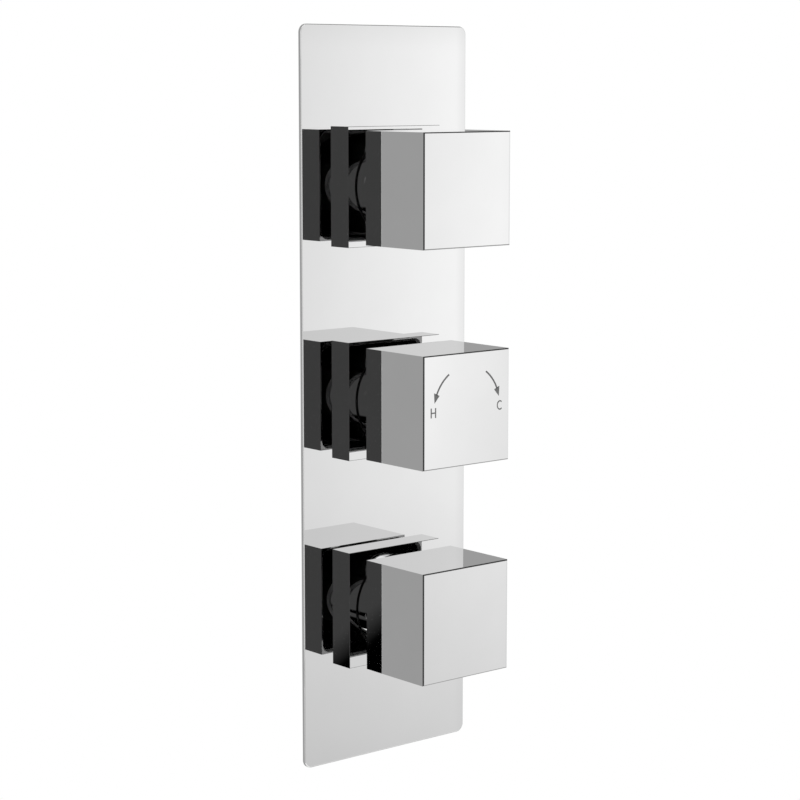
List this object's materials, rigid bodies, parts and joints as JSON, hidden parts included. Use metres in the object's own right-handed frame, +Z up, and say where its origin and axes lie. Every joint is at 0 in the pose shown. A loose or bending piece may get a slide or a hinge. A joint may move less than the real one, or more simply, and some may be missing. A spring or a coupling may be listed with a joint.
{
  "type": "concealed shower valve",
  "caption": "Concealed thermostatic shower valve: tall chrome faceplate with square flow and temperature knobs on square collars, over a brass valve body that sits in the wall.",
  "frame": {"origin": "on the axis of the middle knob, at the finished wall, where the back of the faceplate lies", "axes": "+X to the right as seen from the room, +Y into the wall, +Z up"},
  "size_m": [0.125, 0.124, 0.3],
  "materials": {
    "chrome_plate": "mirror-polished chrome plate",
    "chrome_trim": "mirror-polished chrome plate",
    "chrome_knob": "mirror-polished chrome plate",
    "foam": "closed-cell foam",
    "seal_rubber": "nitrile rubber",
    "cast_brass": "as-cast brass",
    "turned_brass": "turned brass",
    "union_brass": "turned brass",
    "bracket_steel": "zinc-plated pressed steel",
    "screw_steel": "stainless steel",
    "filter_steel": "perforated stainless steel",
    "spring_steel": "drawn stainless wire",
    "stop_plastic": "moulded plastic",
    "insert_plastic": "moulded plastic",
    "cartridge_plastic": "moulded glass-filled plastic",
    "check_plastic": "moulded plastic",
    "element_copper": "copper capsule",
    "fibre_washer": "fibre sealing washer",
    "ceramic": "lapped alumina ceramic"
  },
  "bodies": {
    "valve": {"faceplate": "chrome_plate", "plate_gasket": "foam", "collar_seals": "seal_rubber", "spindle_seals": "seal_rubber", "bonnet_seals": "seal_rubber", "seat_seals": "seal_rubber", "valve_body": "cast_brass", "wall_bracket": "bracket_steel", "bracket_screws": "screw_steel", "middle_bonnet": "turned_brass", "stop_ring": "stop_plastic", "thermostat_sleeve": "cartridge_plastic", "return_spring": "spring_steel", "union_washers": "fibre_washer", "inlet_filters": "filter_steel", "upper_collar": "chrome_trim", "upper_shroud": "chrome_trim", "middle_collar": "chrome_trim", "middle_shroud": "chrome_trim", "lower_collar": "chrome_trim", "lower_shroud": "chrome_trim", "upper_bonnet": "turned_brass", "upper_fixed_disc": "ceramic", "upper_outlet_union": "union_brass", "lower_bonnet": "turned_brass", "lower_fixed_disc": "ceramic", "lower_outlet_union": "union_brass", "hot_inlet_union": "union_brass", "hot_check_cage": "check_plastic", "hot_check_spring": "spring_steel", "cold_inlet_union": "union_brass", "cold_check_cage": "check_plastic", "cold_check_spring": "spring_steel"},
    "upper_flow": {"upper_knob": "chrome_knob", "upper_spline_insert": "insert_plastic", "upper_grub_screw": "screw_steel", "upper_spindle": "turned_brass", "upper_moving_disc": "ceramic"},
    "lower_flow": {"lower_knob": "chrome_knob", "lower_spline_insert": "insert_plastic", "lower_grub_screw": "screw_steel", "lower_spindle": "turned_brass", "lower_moving_disc": "ceramic"},
    "temperature": {"middle_knob": "chrome_knob", "middle_spline_insert": "insert_plastic", "middle_grub_screw": "screw_steel", "middle_spindle": "turned_brass"},
    "regulator": {"drive_nut": "turned_brass", "wax_element": "element_copper", "shuttle": "cartridge_plastic"},
    "hot_check": {"hot_check_poppet": "check_plastic"},
    "cold_check": {"cold_check_poppet": "check_plastic"}
  },
  "joints": [
    {"name": "upper_flow_turn", "type": "hinge", "parent": "valve", "child": "upper_flow", "pos_m": [0, 0, 0.086], "axis": [0, -1, 0], "range_deg": [0, 90]},
    {"name": "lower_flow_turn", "type": "hinge", "parent": "valve", "child": "lower_flow", "pos_m": [0, 0, -0.086], "axis": [0, -1, 0], "range_deg": [0, 90]},
    {"name": "temperature_turn", "type": "hinge", "parent": "valve", "child": "temperature", "pos_m": [0, 0, 0], "axis": [0, -1, 0], "range_deg": [-150, 90]},
    {"name": "regulator_slide", "type": "slide", "parent": "valve", "child": "regulator", "axis": [0, 1, 0], "range_m": [-0.0011, 0.0018], "deforming": ["return_spring"]},
    {"name": "hot_check_slide", "type": "slide", "parent": "valve", "child": "hot_check", "axis": [1, 0, 0], "range_m": [0, 0.0025], "stiffness_N_per_m": 100, "springref_m": -0.002, "deforming": ["hot_check_spring"]},
    {"name": "cold_check_slide", "type": "slide", "parent": "valve", "child": "cold_check", "axis": [-1, 0, 0], "range_m": [0, 0.0025], "stiffness_N_per_m": 100, "springref_m": -0.002, "deforming": ["cold_check_spring"]}
  ],
  "couplings": [
    {"joint": "regulator_slide", "follows": "temperature_turn", "m_per_rad": -0.00063662}
  ]
}
